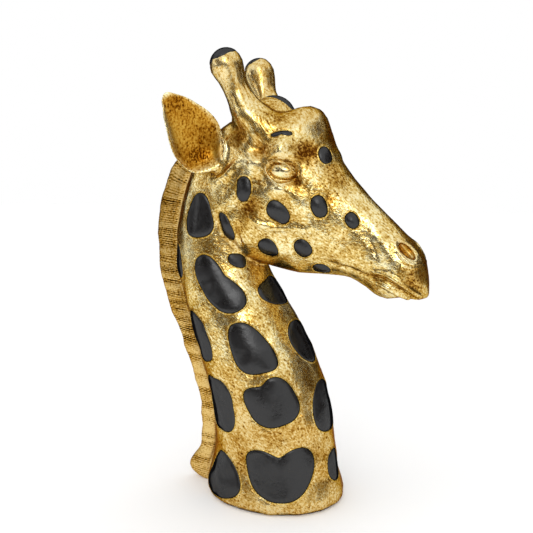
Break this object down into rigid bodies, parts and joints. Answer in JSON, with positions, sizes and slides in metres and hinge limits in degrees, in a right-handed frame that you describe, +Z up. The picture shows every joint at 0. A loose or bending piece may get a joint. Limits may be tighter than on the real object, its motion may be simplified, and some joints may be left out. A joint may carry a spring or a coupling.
{
  "type": "giraffe head bust",
  "caption": "Gilded giraffe head-and-neck bust with black inlaid spots, a ribbed mane and black-tipped ossicones, standing on the flat foot of its neck.",
  "frame": {"origin": "centre of the neck's foot, on the surface that the bust stands on", "axes": "+X where the giraffe looks, +Y to its left, +Z up"},
  "size_m": [0.3174, 0.16, 0.4838],
  "materials": {
    "gold_leaf": "distressed gold leaf over cast resin",
    "aged_gold": "gold leaf with a dark wash over cast resin",
    "black_inlay": "satin black",
    "closing_plate": "bare cast resin",
    "felt": "black felt"
  },
  "bodies": {
    "root": {"neck_casting": "gold_leaf", "head_casting": "gold_leaf", "mane": "aged_gold", "base_plate": "closing_plate", "felt_pad": "felt", "ear_right": "gold_leaf", "ossicone_right": "gold_leaf", "ossicone_cap_right": "black_inlay", "ear_left": "gold_leaf", "ossicone_left": "gold_leaf", "ossicone_cap_left": "black_inlay", "neck_spot_front_1": "black_inlay", "neck_spot_front_2": "black_inlay", "neck_spot_front_3": "black_inlay", "neck_spot_front_4": "black_inlay", "neck_spot_side_1_right": "black_inlay", "neck_spot_side_1_left": "black_inlay", "neck_spot_side_2_right": "black_inlay", "neck_spot_side_2_left": "black_inlay", "neck_spot_side_3_right": "black_inlay", "neck_spot_side_3_left": "black_inlay", "neck_spot_side_4_right": "black_inlay", "neck_spot_side_4_left": "black_inlay", "neck_spot_throat_right": "black_inlay", "neck_spot_throat_left": "black_inlay", "neck_spot_back_1_right": "black_inlay", "neck_spot_back_1_left": "black_inlay", "neck_spot_back_2_right": "black_inlay", "neck_spot_back_2_left": "black_inlay", "neck_spot_back_3_right": "black_inlay", "neck_spot_back_3_left": "black_inlay", "neck_spot_back_4_right": "black_inlay", "neck_spot_back_4_left": "black_inlay", "neck_spot_back_5_right": "black_inlay", "neck_spot_back_5_left": "black_inlay", "head_spot_ear_right": "black_inlay", "head_spot_ear_left": "black_inlay", "head_spot_cheek_right": "black_inlay", "head_spot_cheek_left": "black_inlay", "head_spot_muzzle_1_right": "black_inlay", "head_spot_muzzle_1_left": "black_inlay", "head_spot_muzzle_2_right": "black_inlay", "head_spot_muzzle_2_left": "black_inlay", "head_spot_brow_right": "black_inlay", "head_spot_brow_left": "black_inlay", "head_spot_eyebrow_right": "black_inlay", "head_spot_eyebrow_left": "black_inlay", "head_spot_jaw_1_right": "black_inlay", "head_spot_jaw_1_left": "black_inlay", "head_spot_jaw_2_right": "black_inlay", "head_spot_jaw_2_left": "black_inlay", "head_spot_jaw_3_right": "black_inlay", "head_spot_jaw_3_left": "black_inlay", "head_spot_chin_right": "black_inlay", "head_spot_chin_left": "black_inlay"}
  },
  "joints": []
}
